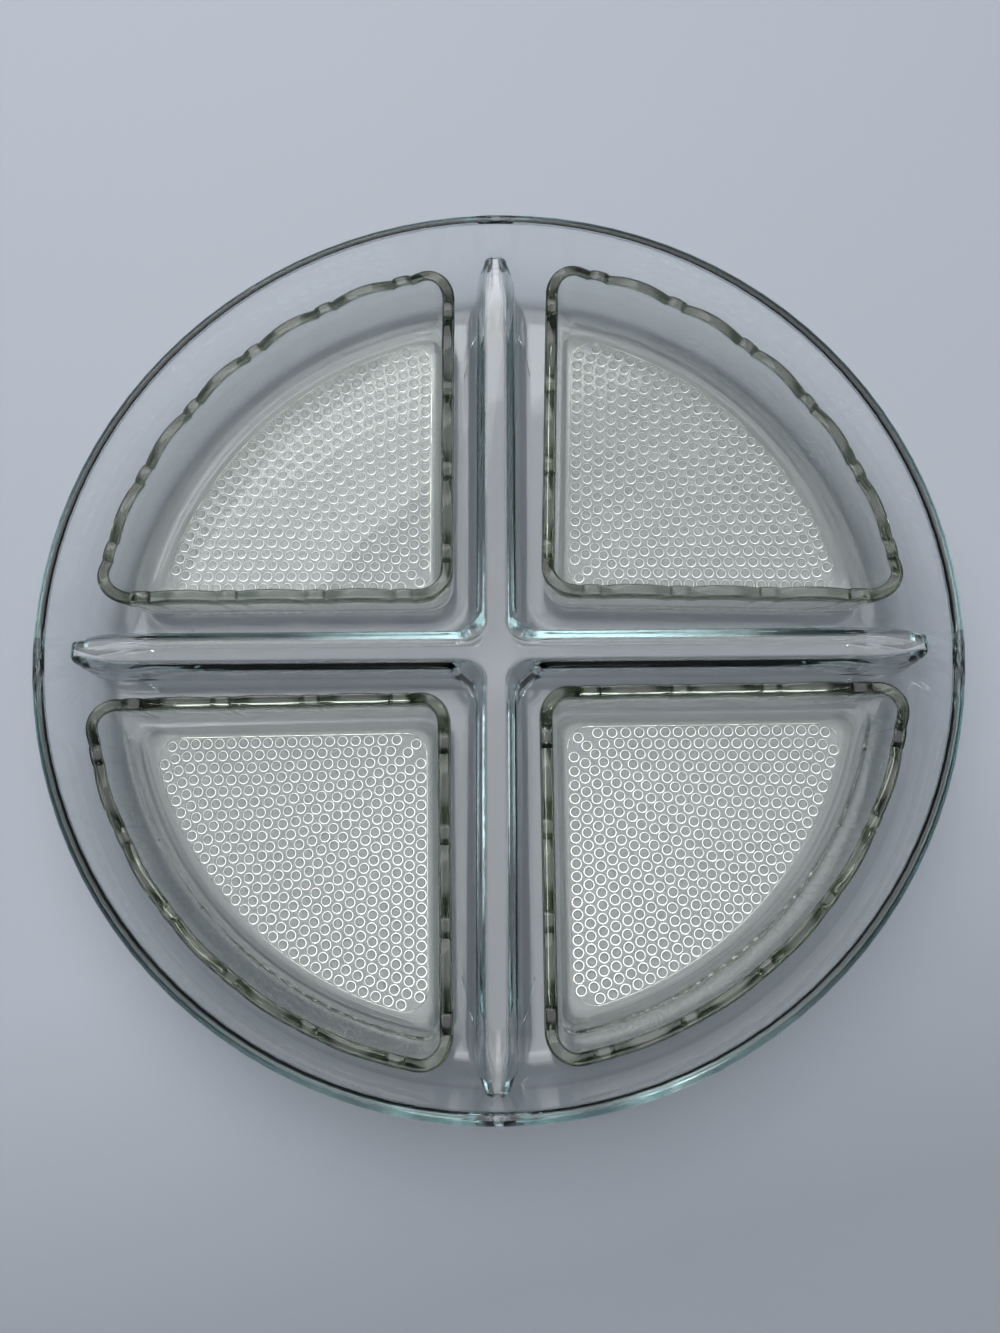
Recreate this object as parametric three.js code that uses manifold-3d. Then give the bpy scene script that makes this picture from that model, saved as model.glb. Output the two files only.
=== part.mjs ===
import * as THREE from 'three';
import { mergeVertices } from 'three/addons/utils/BufferGeometryUtils.js';
import Module from 'manifold-3d';

const wasm = await Module();
wasm.setup();

// Serving dish in clear pressed glass: a round tray with a cross of folded ribs, hollow from below,
// and four loose quarter-round inserts that stand between the ribs.
// Millimetres, +Z up. The dish axis is the Z axis, the tray stands on its foot ring at z = 0.

// Tray bowl
const TRAY_RADIUS = 160;
const TRAY_HEIGHT = 44;
const TRAY_WALL = 4.6;
const TRAY_LEAN = THREE.MathUtils.degToRad(13);
const TRAY_FLOOR = 4.6;
const FOOT_HEIGHT = 0.4;
const FOOT_WIDTH = 6;
const OUTER_BEND = 18;
const INNER_BEND = 14;
const TRAY_TURNS = 80;
const UNDER_STEPS = 3;
const BEND_STEPS = 5;
const RIM_STEPS = 6;

// Cross of ribs folded up from the tray floor
const RIB_HEIGHT = 21.6;
const RIB_CREST = 14;
const RIB_DRAFT = THREE.MathUtils.degToRad(3);
const RIB_EDGE = 4.2;
const RIB_ROOT = 4.5;
const RIB_JOIN = 5;
const RIB_TIP = 18;
const RIB_SUNK = 1;
const RIB_STEPS = 3;

// Hollow under the ribs
const RIB_SKIN = 3.5;
const HOLLOW_EDGE = 1;
const HOLLOW_ROOT = 8.2;

// Room between the loose inserts and the tray
const CLEARANCE = 0.3;
const RIB_ROOM = 3.7;
const EDGE_ROOM = 6.2;

// Quarter-round insert
const INSERT_HEIGHT = 30.5;
const INSERT_WALL = 4.6;
const INSERT_FLOOR = 3.6;
const SIDE_DRAFT = 0.9;
const ARC_DRAFT = 6.5;
const CORNER = 11;
const FOOT_CORNER = 1;
const FLOOR_BEND = 4.8;

// Studded pad under the insert floor
const PAD_STEP = 1;
const PAD_CORNER = 8;
const PAD_LIP = 0.4;

// Rim of the insert: long arches with a short raised knuckle between each two
const ARCHES = 14;
const ARCH_RISE = 2.6;
const ARCH_STEPS = 4;
const KNUCKLE_SHARE = 0.24;
const KNUCKLE_RISE = 1.2;
const KNUCKLE_STEP = 0.02;
const RIM_EDGE = 1;
const EDGE_STEPS = 2;
const BASE_STEPS = 3;

// Where each loose insert stands: quarter turn, and how far it has slid or turned in its quarter
const PLACES = [
  { name: 'insert_back_right', quarter: 0, slide: [2, 0], turn: -1.4 },
  { name: 'insert_back_left', quarter: 1, slide: [0, -0.5], turn: 0 },
  { name: 'insert_front_left', quarter: 2, slide: [-0.5, 2.5], turn: 0.8 },
  { name: 'insert_front_right', quarter: 3, slide: [-0.4, 0], turn: 0.4 },
];

const HALF_TURN = Math.PI;
const QUARTER_TURN = Math.PI / 2;
const EIGHTH_TURN = Math.PI / 4;

// Levels and radii that follow from the sizes above
const FLOOR_TOP = FOOT_HEIGHT + TRAY_FLOOR;
const RIM_BEAD = TRAY_WALL / 2;
const RIM_CENTRE = new THREE.Vector2(TRAY_RADIUS - RIM_BEAD, TRAY_HEIGHT - RIM_BEAD);
const RIB_SLOPE = Math.tan(RIB_DRAFT);
const RIB_FOOT = RIB_CREST / 2 + RIB_HEIGHT * RIB_SLOPE + RIB_ROOT;
const BASE_BEND = INSERT_WALL + FLOOR_BEND - PAD_LIP;
const BASE_CORNER = FOOT_CORNER + BASE_BEND;

// Point on a circle in the half section of the tray
function arcPoint(centre, radius, angle) {
  return new THREE.Vector2(centre.x + radius * Math.cos(angle), centre.y + radius * Math.sin(angle));
}

// Evenly spaced points on an arc, both ends included
function arcPoints(centre, radius, from, to, steps) {
  const points = [];
  for (let i = 0; i <= steps; i += 1) {
    points.push(arcPoint(centre, radius, from + ((to - from) * i) / steps));
  }
  return points;
}

// Radius of the leaning wall at a height; side is +1 for the outer face and -1 for the inner face
function wallRadius(height, side) {
  const start = RIM_CENTRE.x + (side * RIM_BEAD) / Math.cos(TRAY_LEAN);
  return start - (RIM_CENTRE.y - height) * Math.tan(TRAY_LEAN);
}

// Centre of the bend between a level face and the leaning wall
function bendCentre(level, radius, side) {
  const height = level + radius;
  return new THREE.Vector2(wallRadius(height, side) - radius / Math.cos(TRAY_LEAN), height);
}

// Inner radius of the tray at a height above its floor
function innerRadius(height) {
  const centre = bendCentre(FLOOR_TOP, INNER_BEND, -1);
  const drop = centre.y - height;
  if (drop < INNER_BEND * Math.sin(TRAY_LEAN)) {
    return wallRadius(height, -1);
  }
  return centre.x + Math.sqrt(Math.max(0, INNER_BEND * INNER_BEND - drop * drop));
}

// Solid body from a geometry: bare positions, joined corners, no flat triangles
function solidOf(geometry) {
  const bare = geometry.clone();
  bare.deleteAttribute('normal');
  bare.deleteAttribute('uv');
  const joined = mergeVertices(bare, 1e-4);
  const source = joined.index.array;
  const kept = [];
  for (let i = 0; i < source.length; i += 3) {
    const [a, b, c] = [source[i], source[i + 1], source[i + 2]];
    if (a !== b && b !== c && c !== a) {
      kept.push(a, b, c);
    }
  }
  const mesh = new wasm.Mesh({
    numProp: 3,
    vertProperties: new Float32Array(joined.attributes.position.array),
    triVerts: new Uint32Array(kept),
  });
  return new wasm.Manifold(mesh);
}

// Geometry of a solid body
function geometryOf(solid) {
  const mesh = solid.getMesh();
  const geometry = new THREE.BufferGeometry();
  geometry.setAttribute('position', new THREE.BufferAttribute(new Float32Array(mesh.vertProperties), 3));
  geometry.setIndex(new THREE.BufferAttribute(new Uint32Array(mesh.triVerts), 1));
  geometry.computeVertexNormals();
  return geometry;
}

// Skin over a row of rings with equal point counts, closed by a fan at each end
function loft(rings) {
  const count = rings[0].length;
  const last = rings.length - 1;
  const corners = rings.flat();
  const faces = [];
  for (let k = 0; k < last; k += 1) {
    for (let i = 0; i < count; i += 1) {
      const next = (i + 1) % count;
      const low = k * count;
      const high = low + count;
      faces.push(low + i, low + next, high + next);
      faces.push(low + i, high + next, high + i);
    }
  }
  const hub = (ring) => ring.reduce((sum, p) => sum.add(p), new THREE.Vector3()).divideScalar(count);
  const firstHub = corners.push(hub(rings[0])) - 1;
  const lastHub = corners.push(hub(rings[last])) - 1;
  for (let i = 0; i < count; i += 1) {
    const next = (i + 1) % count;
    faces.push(firstHub, next, i);
    faces.push(lastHub, last * count + i, last * count + next);
  }
  const geometry = new THREE.BufferGeometry().setFromPoints(corners);
  geometry.setIndex(faces);
  geometry.computeVertexNormals();
  return geometry;
}

// Underside of the tray: a shallow dome from the dish axis to the foot ring
function trayUnderside(footInner) {
  const radius = (footInner * footInner + FOOT_HEIGHT * FOOT_HEIGHT) / (2 * FOOT_HEIGHT);
  const centre = new THREE.Vector2(0, FOOT_HEIGHT - radius);
  const dome = arcPoints(centre, radius, QUARTER_TURN, Math.acos(footInner / radius), UNDER_STEPS);
  return [new THREE.Vector2(0, FOOT_HEIGHT), ...dome.slice(1, -1), new THREE.Vector2(footInner, 0)];
}

// Round bowl of the tray with its foot ring, leaning wall and rounded rim
function trayBowl() {
  const outer = bendCentre(0, OUTER_BEND, 1);
  const inner = bendCentre(FLOOR_TOP, INNER_BEND, -1);
  const profile = [
    ...trayUnderside(outer.x - FOOT_WIDTH),
    ...arcPoints(outer, OUTER_BEND, -QUARTER_TURN, -TRAY_LEAN, BEND_STEPS),
    ...arcPoints(RIM_CENTRE, RIM_BEAD, -TRAY_LEAN, HALF_TURN - TRAY_LEAN, RIM_STEPS),
    ...arcPoints(inner, INNER_BEND, -TRAY_LEAN, -QUARTER_TURN, BEND_STEPS),
    new THREE.Vector2(0, FLOOR_TOP),
  ];
  return new THREE.LatheGeometry(profile, TRAY_TURNS).rotateX(QUARTER_TURN);
}

// Half of one rib seen from above, from the tip back to the middle of the hollow corner
function ribSide(half, reach) {
  const join = RIB_JOIN + RIB_FOOT - half;
  const centre = new THREE.Vector2(half + join, half + join);
  const points = [];
  for (let i = 0; i <= 2 * RIB_STEPS; i += 1) {
    const angle = QUARTER_TURN - (QUARTER_TURN * i) / (2 * RIB_STEPS);
    points.push(new THREE.Vector2(reach - RIB_TIP + RIB_TIP * Math.sin(angle), half * Math.cos(angle)));
  }
  points.push(...arcPoints(centre, join, -QUARTER_TURN, -QUARTER_TURN - EIGHTH_TURN, RIB_STEPS));
  return points;
}

// Outline of the whole cross at one level
function crossRing(half, reach, level) {
  const side = ribSide(half, reach);
  const mirrored = side.slice(1, -1).reverse();
  const ring = [];
  for (let rib = 0; rib < 4; rib += 1) {
    const turn = rib * QUARTER_TURN;
    const axis = new THREE.Vector2(0, 0);
    const low = mirrored.map((p) => new THREE.Vector2(p.x, -p.y).rotateAround(axis, turn));
    const high = side.map((p) => p.clone().rotateAround(axis, turn));
    ring.push(...low, ...high);
  }
  return ring.map((p) => new THREE.Vector3(p.x, p.y, level));
}

// Outlines of one face of the folded ribs, a depth inside the glass, from its root up to its crest
function foldRings({ depth, edge, root, low }) {
  const top = RIB_HEIGHT - depth;
  const levels = [];
  for (let i = 0; i <= RIB_STEPS; i += 1) {
    const angle = QUARTER_TURN * (1 - i / RIB_STEPS);
    levels.push({ height: low + root * (1 - Math.sin(angle)), spread: root * (1 - Math.cos(angle)) });
  }
  for (let i = 0; i <= RIB_STEPS; i += 1) {
    const angle = (QUARTER_TURN * i) / RIB_STEPS;
    levels.push({ height: top - edge + edge * Math.sin(angle), spread: -edge * (1 - Math.cos(angle)) });
  }
  return levels.map(({ height, spread }) => {
    const half = RIB_CREST / 2 + (RIB_HEIGHT - height) * RIB_SLOPE - depth + spread;
    const reach = innerRadius(FLOOR_TOP + height) + RIM_BEAD - depth;
    return crossRing(half, reach, FLOOR_TOP + height);
  });
}

// Body over a row of rings, run straight down below the first one
function foldBody(rings) {
  const sunk = rings[0].map((p) => new THREE.Vector3(p.x, p.y, p.z - RIB_SUNK));
  return loft([sunk, ...rings]);
}

// Cross of four ribs: round root, steep sides, rounded crest, tips sunk in the tray wall
function ribCross() {
  return foldBody(foldRings({ depth: 0, edge: RIB_EDGE, root: RIB_ROOT, low: 0 }));
}

// Hollow that follows the ribs from below, with a wide round mouth
function ribHollow() {
  return foldBody(foldRings({ depth: RIB_SKIN, edge: HOLLOW_EDGE, root: HOLLOW_ROOT, low: -FLOOR_TOP }));
}

// Seven stretches of the quarter outline, from the middle of the inner corner round and back to it
function quarterOutline({ side, arc, corner }) {
  const near = side + corner;
  const far = Math.sqrt((arc - corner) ** 2 - near ** 2);
  const tilt = Math.atan2(near, far);
  const bow = (x, y, radius, from, to) => ({
    length: radius * Math.abs(to - from),
    at: (t) => arcPoint(new THREE.Vector2(x, y), radius, from + (to - from) * t),
  });
  const line = (a, b) => ({
    length: a.distanceTo(b),
    at: (t) => a.clone().lerp(b, t),
  });
  return [
    bow(near, near, corner, -HALF_TURN + EIGHTH_TURN, -QUARTER_TURN),
    line(new THREE.Vector2(near, side), new THREE.Vector2(far, side)),
    bow(far, near, corner, -QUARTER_TURN, tilt),
    bow(0, 0, arc, tilt, QUARTER_TURN - tilt),
    bow(near, far, corner, QUARTER_TURN - tilt, HALF_TURN),
    line(new THREE.Vector2(side, far), new THREE.Vector2(side, near)),
    bow(near, near, corner, HALF_TURN, HALF_TURN + EIGHTH_TURN),
  ];
}

// Stations round the rim: the stretch and share they lie on, and how high the rim rises there
function rimStations(outline) {
  const total = outline.reduce((sum, stretch) => sum + stretch.length, 0);
  const reach = (1 - KNUCKLE_SHARE) / 2;
  const stations = [];
  const add = (place, rise) => {
    let distance = THREE.MathUtils.euclideanModulo(place, ARCHES) * (total / ARCHES);
    let stretch = 0;
    while (stretch < outline.length - 1 && distance > outline[stretch].length) {
      distance -= outline[stretch].length;
      stretch += 1;
    }
    stations.push({ stretch, share: distance / outline[stretch].length, rise });
  };
  for (let arch = 0; arch < ARCHES; arch += 1) {
    for (let i = 0; i <= ARCH_STEPS; i += 1) {
      const across = (2 * i) / ARCH_STEPS - 1;
      add(arch + reach * across, ARCH_RISE * (1 - across * across));
    }
    add(arch + reach + KNUCKLE_STEP, KNUCKLE_RISE);
    add(arch + 1 - reach - KNUCKLE_STEP, KNUCKLE_RISE);
  }
  return stations;
}

// Outlines of the insert: rim, foot of the outer wall, foot of the inner wall, studded pad
function insertOutlines() {
  const floorFlat = bendCentre(FLOOR_TOP, INNER_BEND, -1).x;
  const base = {
    side: RIB_FOOT + RIB_ROOM,
    arc: floorFlat - EDGE_ROOM + BASE_BEND,
    corner: BASE_CORNER,
  };
  const rim = { side: base.side - SIDE_DRAFT, arc: base.arc + ARC_DRAFT, corner: CORNER };
  const hollow = inset(base, INSERT_WALL);
  const pad = { ...inset(hollow, FLOOR_BEND), corner: PAD_CORNER };
  return { base, rim, hollow, pad };
}

// Outline moved inwards
function inset(outline, distance) {
  return {
    side: outline.side + distance,
    arc: outline.arc - distance,
    corner: outline.corner - distance,
  };
}

// Outline part of the way between two others
function between(a, b, share) {
  const mix = (key) => a[key] + (b[key] - a[key]) * share;
  return { side: mix('side'), arc: mix('arc'), corner: mix('corner') };
}

// One insert: studded pad, rounded base, drafted wall, knuckled rim, hollow with a rounded floor
function insertShell() {
  const { base, rim, hollow, pad } = insertOutlines();
  const stations = rimStations(quarterOutline(rim));
  const bottom = FLOOR_TOP + CLEARANCE;
  const under = bottom + PAD_STEP;
  const floor = under + INSERT_FLOOR;
  const crown = bottom + INSERT_HEIGHT - ARCH_RISE;
  const ring = (outline, level, wave) => {
    const stretches = quarterOutline(outline);
    return stations.map(({ stretch, share, rise }) => {
      const p = stretches[stretch].at(share);
      return new THREE.Vector3(p.x, p.y, level + wave * rise);
    });
  };
  const baseRings = [];
  for (let i = 0; i <= BASE_STEPS; i += 1) {
    const angle = (QUARTER_TURN * i) / BASE_STEPS;
    const outline = inset(base, BASE_BEND * (1 - Math.sin(angle)));
    baseRings.push(ring(outline, under + BASE_BEND * (1 - Math.cos(angle)), 0));
  }
  const rimRings = [];
  for (const [start, side] of [[0, 1], [INSERT_WALL, -1]]) {
    for (let i = 0; i <= EDGE_STEPS; i += 1) {
      const angle = QUARTER_TURN * (side > 0 ? i / EDGE_STEPS : 1 - i / EDGE_STEPS);
      const outline = inset(rim, start + side * RIM_EDGE * (1 - Math.cos(angle)));
      rimRings.push(ring(outline, crown - RIM_EDGE * (1 - Math.sin(angle)), 1));
    }
  }
  const floorRings = [];
  for (let i = 0; i <= BASE_STEPS; i += 1) {
    const angle = (QUARTER_TURN * i) / BASE_STEPS;
    const outline = between(hollow, pad, 1 - Math.cos(angle));
    floorRings.push(ring(outline, floor + FLOOR_BEND * (1 - Math.sin(angle)), 0));
  }
  return loft([ring(pad, bottom, 0), ring(pad, under, 0), ...baseRings, ...rimRings, ...floorRings]);
}

// Clear tray glass with a cool blue-green tint
function trayGlass() {
  return new THREE.MeshStandardMaterial({
    name: 'tray_glass', color: 0xbfd3d6, roughness: 0.06, metalness: 0, transparent: true, opacity: 0.35,
  });
}

// Clear insert glass with a faint olive-grey tint
function insertGlass() {
  return new THREE.MeshStandardMaterial({
    name: 'insert_glass', color: 0xc3cbc5, roughness: 0.08, metalness: 0, transparent: true, opacity: 0.35,
  });
}

// Tray: bowl and folded ribs in one pressing
function makeTray() {
  const body = solidOf(trayBowl()).add(solidOf(ribCross())).subtract(solidOf(ribHollow()));
  const tray = new THREE.Mesh(geometryOf(body), trayGlass());
  tray.name = 'serving_tray';
  return tray;
}

// Insert shifted so that it turns about the middle of its own quarter
function makeInserts() {
  const middle = insertOutlines().rim.arc / 2;
  const shell = insertShell().translate(-middle, -middle, 0);
  const glass = insertGlass();
  return PLACES.map(({ name, quarter, slide, turn }) => {
    const insert = new THREE.Mesh(shell, glass);
    insert.name = name;
    insert.position.set(middle + slide[0], middle + slide[1], 0);
    insert.rotation.z = THREE.MathUtils.degToRad(turn);
    const place = new THREE.Group();
    place.name = `${name}_place`;
    place.rotation.z = quarter * QUARTER_TURN;
    place.add(insert);
    return place;
  });
}

const dish = new THREE.Group();
dish.name = 'serving_dish';
dish.add(makeTray(), ...makeInserts());

export default dish;
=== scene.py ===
import logging
import math
from bisect import bisect_right
from dataclasses import dataclass, field
from enum import Enum
from typing import Union

import bmesh
import bpy
from mathutils import Matrix, Vector


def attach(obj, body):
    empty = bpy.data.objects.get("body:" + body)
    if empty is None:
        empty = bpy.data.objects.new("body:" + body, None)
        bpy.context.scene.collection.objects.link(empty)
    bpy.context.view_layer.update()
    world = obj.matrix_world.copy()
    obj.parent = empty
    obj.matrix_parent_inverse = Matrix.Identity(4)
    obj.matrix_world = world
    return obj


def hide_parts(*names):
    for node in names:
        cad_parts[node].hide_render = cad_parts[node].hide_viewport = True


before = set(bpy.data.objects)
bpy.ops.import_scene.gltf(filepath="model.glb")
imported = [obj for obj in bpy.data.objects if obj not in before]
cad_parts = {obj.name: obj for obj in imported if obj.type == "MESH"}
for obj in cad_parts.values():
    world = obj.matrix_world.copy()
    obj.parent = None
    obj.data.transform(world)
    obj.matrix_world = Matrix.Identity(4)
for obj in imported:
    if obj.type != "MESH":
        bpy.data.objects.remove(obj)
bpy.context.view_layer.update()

LOG = logging.getLogger("serving_dish")
MM = 0.001
QUARTER_TURN = math.pi / 2
EIGHTH_TURN = math.pi / 4

Value = Union["Signal", float, tuple]


def clamp(value: float) -> float:
    """Value held between 0 and 1."""
    return max(0.0, min(1.0, value))


def spaced(start: float, end: float, steps: int) -> list[float]:
    """Evenly spaced values after a start, up to and with the end.

    Args:
        start: Value before the first one.
        end: Last value.
        steps: How many values there are.

    Returns:
        The values in order.
    """
    return [start + (end - start) * i / steps for i in range(1, steps + 1)]


def soft_max(low: float, high: float, width: float) -> float:
    """Larger of two heights with a fillet where they cross.

    Args:
        low: First height.
        high: Second height.
        width: Width of the fillet, none at 0.

    Returns:
        The blended height.
    """
    if width <= 0:
        return max(low, high)
    near = max(width - abs(low - high), 0.0) / width
    return max(low, high) + near * near * width / 4


def level_at(section: list[tuple[float, float]], offset: float) -> float:
    """Level of a section at an offset.

    Args:
        section: Offsets in rising order with levels.
        offset: Where the level is wanted.

    Returns:
        The level, the last one past the end.
    """
    after = bisect_right([place for place, _ in section], offset)
    if after >= len(section):
        return section[-1][1]
    (left, high), (right, low) = section[after - 1], section[after]
    return high + (low - high) * (offset - left) / (right - left)


def finished(name: str, bm: bmesh.types.BMesh, crease: float = math.radians(40)) -> bpy.types.Mesh:
    """Mesh in metres from a closed shape in millimetres, smooth but for its creases.

    Args:
        name: Name of the mesh.
        bm: Shape in millimetres, freed here.
        crease: Angle between faces from which an edge stays sharp.

    Returns:
        The finished mesh.
    """
    bmesh.ops.recalc_face_normals(bm, faces=bm.faces)
    bmesh.ops.scale(bm, vec=(MM, MM, MM), verts=bm.verts)
    mesh = bpy.data.meshes.new(name)
    bm.to_mesh(mesh)
    bm.free()
    mesh.shade_smooth()
    mesh.set_sharp_from_angle(angle=crease)
    return mesh


def shown(name: str, mesh: bpy.types.Mesh) -> bpy.types.Object:
    """Object in the scene that carries a mesh.

    Args:
        name: Name of the object.
        mesh: Mesh with its place in it.

    Returns:
        The object, at the origin.
    """
    piece = bpy.data.objects.new(name, mesh)
    bpy.context.scene.collection.objects.link(piece)
    return piece


@dataclass(frozen=True)
class Signal:
    """Output of a shader node that takes part in arithmetic."""

    tree: bpy.types.NodeTree
    socket: bpy.types.NodeSocket

    def _math(self, operation: str, left: Value, right: Value) -> "Signal":
        """Math node on two values.

        Args:
            operation: Name of the operation.
            left: First value or link.
            right: Second value or link.

        Returns:
            The node's result.
        """
        return Recipe(self.tree).node("ShaderNodeMath", {"operation": operation}, {0: left, 1: right})

    def __add__(self, other: Value) -> "Signal":
        """Sum."""
        return self._math("ADD", self, other)

    def __radd__(self, other: Value) -> "Signal":
        """Sum with a number on the left."""
        return self._math("ADD", other, self)

    def __mul__(self, other: Value) -> "Signal":
        """Product."""
        return self._math("MULTIPLY", self, other)


class Ramp(Enum):
    """How a value rises between two ends."""

    STRAIGHT = "LINEAR"
    SOFT = "SMOOTHSTEP"


@dataclass(frozen=True)
class Recipe:
    """Node tree that a finish or a light is written in."""

    tree: bpy.types.NodeTree

    def node(
        self,
        kind: str,
        settings: Union[dict[str, object], None] = None,
        inputs: Union[dict[Union[str, int], Value], None] = None,
        output: Union[str, int] = 0,
    ) -> Signal:
        """Node with its settings and sockets filled.

        Args:
            kind: Type of the node.
            settings: Node properties, set first.
            inputs: Values or links for its sockets.
            output: Socket that is passed on.

        Returns:
            The chosen output.
        """
        made = self.tree.nodes.new(kind)
        for key, setting in (settings or {}).items():
            setattr(made, key, setting)
        for key, value in (inputs or {}).items():
            if isinstance(value, Signal):
                self.tree.links.new(value.socket, made.inputs[key])
            else:
                made.inputs[key].default_value = value
        return Signal(self.tree, made.outputs[output] if made.outputs else None)

    def noise(self, place: Signal, scale: float, detail: float) -> Signal:
        """Soft noise between 0 and 1.

        Args:
            place: Coordinates.
            scale: Waves per metre.
            detail: Finer layers.

        Returns:
            The noise value.
        """
        inputs = {"Vector": place, "Scale": scale, "Detail": detail}
        return self.node("ShaderNodeTexNoise", {"noise_dimensions": "3D"}, inputs)

    def blend(self, share: Signal, first: tuple, second: tuple) -> Signal:
        """Colour between two others.

        Args:
            share: How much of the second colour there is.
            first: First colour.
            second: Second colour.

        Returns:
            The mixed colour.
        """
        return self.node("ShaderNodeMix", {"data_type": "RGBA"}, {0: share, 6: first, 7: second}, 2)

    def along(self, place: Signal, axis: tuple[float, float, float]) -> Signal:
        """Distance along an axis."""
        settings = {"operation": "DOT_PRODUCT"}
        return self.node("ShaderNodeVectorMath", settings, {0: place, 1: axis}, "Value")

    def ramp(self, value: Signal, ends: tuple[float, float], shape: Ramp = Ramp.STRAIGHT) -> Signal:
        """Rise from 0 to 1.

        Args:
            value: What the rise follows.
            ends: Values at which it starts and ends.
            shape: How it rises between them.

        Returns:
            The rise.
        """
        inputs = {"Value": value, "From Min": ends[0], "From Max": ends[1]}
        return self.node("ShaderNodeMapRange", {"interpolation_type": shape.value}, inputs)


@dataclass(frozen=True)
class PressedGlass:
    """Clear pressed glass, tinted in its depth, with the faint ripple that the mould leaves."""

    name: str
    absorb: tuple[float, float, float]
    density: float
    ior: float = 1.5
    polish: float = 0.004
    haze: float = 0.02
    haze_scale: float = 70.0
    haze_detail: float = 4.0
    ripple: float = 0.06
    ripple_depth: float = 0.0004
    swell_scale: float = 45.0
    chill_scale: float = 210.0
    chill_share: float = 0.2
    wave_detail: float = 2.0
    clouded: tuple[float, float, float, float] = (0.985, 0.99, 0.99, 1.0)
    clear: tuple[float, float, float, float] = (1.0, 1.0, 1.0, 1.0)

    def make(self) -> bpy.types.Material:
        """Material of this glass.

        Returns:
            The material with its nodes.
        """
        material = bpy.data.materials.new(self.name)
        material.use_nodes = True
        tree = material.node_tree
        tree.nodes.clear()
        recipe = Recipe(tree)
        place = recipe.node("ShaderNodeTexCoord", output="Object")
        swell = recipe.noise(place, self.swell_scale, self.wave_detail)
        chill = recipe.noise(place, self.chill_scale, self.wave_detail)
        film = recipe.noise(place, self.haze_scale, self.haze_detail)
        wave = swell * (1 - self.chill_share) + chill * self.chill_share
        bent = recipe.node(
            "ShaderNodeBump",
            inputs={"Strength": self.ripple, "Distance": self.ripple_depth, "Height": wave},
        )
        tone = recipe.blend(film, self.clouded, self.clear)
        glass = recipe.node(
            "ShaderNodeBsdfPrincipled",
            inputs={
                "Base Color": tone,
                "Roughness": self.polish + film * self.haze,
                "IOR": self.ior,
                "Transmission Weight": 1.0,
                "Normal": bent,
            },
        )
        depth = recipe.node(
            "ShaderNodeVolumeAbsorption",
            inputs={"Color": (*self.absorb, 1.0), "Density": self.density},
        )
        recipe.node("ShaderNodeOutputMaterial", inputs={"Surface": glass, "Volume": depth})
        return material


TRAY_GLASS = PressedGlass("tray_glass_finish", (0.30, 0.66, 0.68), 5.0)
INSERT_GLASS = PressedGlass("insert_glass_finish", (0.20, 0.30, 0.12), 30.0)


@dataclass
class RibCross:
    """Cross of folded ribs, pressed up from the tray floor and hollow from below, in millimetres."""

    height: float = 21.6
    crest: float = 14.0
    draft: float = math.radians(3)
    edge: float = 4.2
    root: float = 4.5
    crest_join: float = 8.0
    foot_join: float = 12.0
    skin: float = 3.5
    hollow_edge: float = 1.0
    hollow_root: float = 8.2
    tip: float = 18.0
    reach: float = 154.3
    edge_steps: int = 7
    side_steps: int = 3
    root_steps: int = 6

    def half(self, height: float) -> float:
        """Half width between the plain leaning sides at a height."""
        return self.crest / 2 + (self.height - height) * math.tan(self.draft)

    def foot(self) -> float:
        """Half width where the round root runs out on the floor."""
        return self.half(0.0) + self.root

    def join(self, height: float) -> float:
        """Radius of the corner between two ribs, seen from above, wider towards the floor."""
        return self.foot_join + (self.crest_join - self.foot_join) * clamp(height / self.height)

    def hub(self) -> float:
        """Distance from the dish axis at which the ribs part."""
        return self.foot() + self.foot_join

    def fold(self, inset: float, edge: float, root: float, low: float) -> list[tuple[float, float]]:
        """Half section of one face of the fold, from its middle line to where it lies flat.

        Args:
            inset: Distance inside the outer face.
            edge: Radius of the shoulder.
            root: Radius at the foot.
            low: Height of the flat face, from the tray floor.

        Returns:
            Offsets from the middle line with heights above the tray floor.
        """
        top = self.height - inset
        points = [(0.0, top)]
        for turn in [0.0, *spaced(0.0, QUARTER_TURN, self.edge_steps)]:
            height = top - edge * (1 - math.cos(turn))
            points.append((self.half(height) - inset - edge * (1 - math.sin(turn)), height))
        for height in spaced(top - edge, low + root, self.side_steps)[:-1]:
            points.append((self.half(height) - inset, height))
        for turn in [0.0, *spaced(0.0, QUARTER_TURN, self.root_steps)]:
            height = low + root * (1 - math.sin(turn))
            points.append((self.half(height) - inset + root * (1 - math.cos(turn)), height))
        return points

    def hollowed(self, offset: float, turn: float) -> float:
        """Share of the hollow's depth left in the corner between two ribs, solid outside the flanks.

        Args:
            offset: Distance of the line from the middle of the rib.
            turn: Angle about the middle of the corner, from the rib to the diagonal.

        Returns:
            1 where the hollow is whole, 0 where the glass is solid.
        """
        return math.cos(2 * turn) ** 2 if offset > self.half(0.0) - self.skin else 1.0

    def taper_start(self) -> float:
        """Distance from the dish axis at which a rib starts to taper."""
        return self.reach - self.tip

    def taper(self, left: float) -> float:
        """Share of its width that a rib has left at a distance from its end."""
        past = clamp(1 - left / self.tip)
        return math.sqrt(1 - past * past)


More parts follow.
